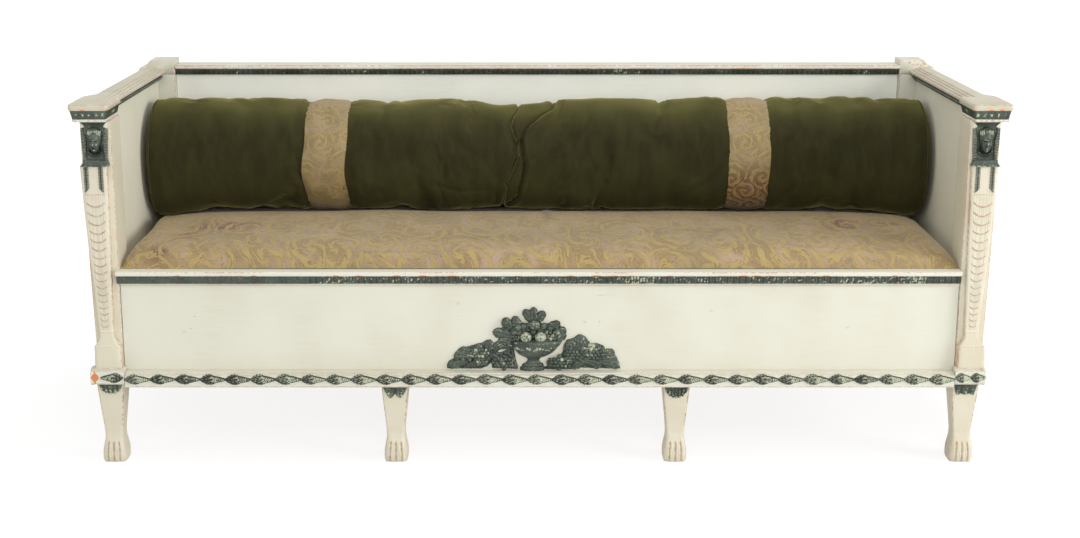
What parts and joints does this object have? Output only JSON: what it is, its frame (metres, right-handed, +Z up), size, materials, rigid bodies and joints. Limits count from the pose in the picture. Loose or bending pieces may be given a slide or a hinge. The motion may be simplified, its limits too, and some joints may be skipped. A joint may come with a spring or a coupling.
{
  "type": "box sofa",
  "caption": "Painted box sofa with panelled arms and back, herm posts on paw legs, a pull-out bed box behind its carved front, a loose mattress and round bolsters.",
  "frame": {"origin": "on the floor, under the middle of the sofa's box", "axes": "+X along the sofa to the right in a front view, the front faces -Y, +Z up"},
  "size_m": [2.13, 0.77, 0.88],
  "materials": {
    "cream_paint": "old matt oil paint on pine, rubbed through at the edges",
    "green_paint": "dark slate-green paint on carving, flaking to cream",
    "bare_pine": "planed bare pine",
    "olive_velvet": "olive cotton velvet",
    "gold_brocade": "faded gold and mauve figured silk"
  },
  "bodies": {
    "carcass": {"front_post_left": "cream_paint", "front_post_right": "cream_paint", "herm_pilaster_left": "cream_paint", "herm_pilaster_right": "cream_paint", "herm_head_left": "green_paint", "herm_head_right": "green_paint", "arm_board_left": "cream_paint", "arm_board_right": "cream_paint", "tablet_band_left": "green_paint", "tablet_band_right": "green_paint", "arm_strip_left": "green_paint", "arm_strip_right": "green_paint", "arm_panel_left": "cream_paint", "arm_panel_right": "cream_paint", "rear_post_left": "cream_paint", "rear_post_right": "cream_paint", "rear_cap_left": "cream_paint", "rear_cap_right": "cream_paint", "back_panel": "cream_paint", "back_rail": "cream_paint", "back_strip": "green_paint", "back_seat_rail": "cream_paint", "rear_leg_left": "cream_paint", "rear_leg_right": "cream_paint", "side_moulding_left": "cream_paint", "side_moulding_right": "cream_paint", "corner_leg_left": "cream_paint", "corner_leg_right": "cream_paint", "front_seat_rail": "bare_pine", "seat_bearer_left": "bare_pine", "seat_bearer_right": "bare_pine", "seat_ledger_left": "bare_pine", "seat_ledger_right": "bare_pine", "seat_board_1": "bare_pine", "seat_board_2": "bare_pine", "seat_board_3": "bare_pine", "runner_rail_left": "bare_pine", "runner_rail_right": "bare_pine", "mattress": "gold_brocade", "bolster_left": "olive_velvet", "bolster_right": "olive_velvet", "bolster_band_left": "gold_brocade", "bolster_band_right": "gold_brocade"},
    "pull_out_front": {"front_panel": "cream_paint", "front_rail": "cream_paint", "front_strip": "green_paint", "front_moulding": "cream_paint", "leaf_garland": "green_paint", "urn_carving": "green_paint", "swag_left": "green_paint", "swag_right": "green_paint", "inner_leg_left": "cream_paint", "inner_leg_right": "cream_paint", "foot_rail": "bare_pine", "box_bottom": "bare_pine", "box_side_left": "bare_pine", "box_side_right": "bare_pine", "box_back": "bare_pine"}
  },
  "joints": [
    {"name": "front_slide", "type": "slide", "parent": "carcass", "child": "pull_out_front", "axis": [0, -1, 0], "range_m": [0, 0.45]}
  ]
}
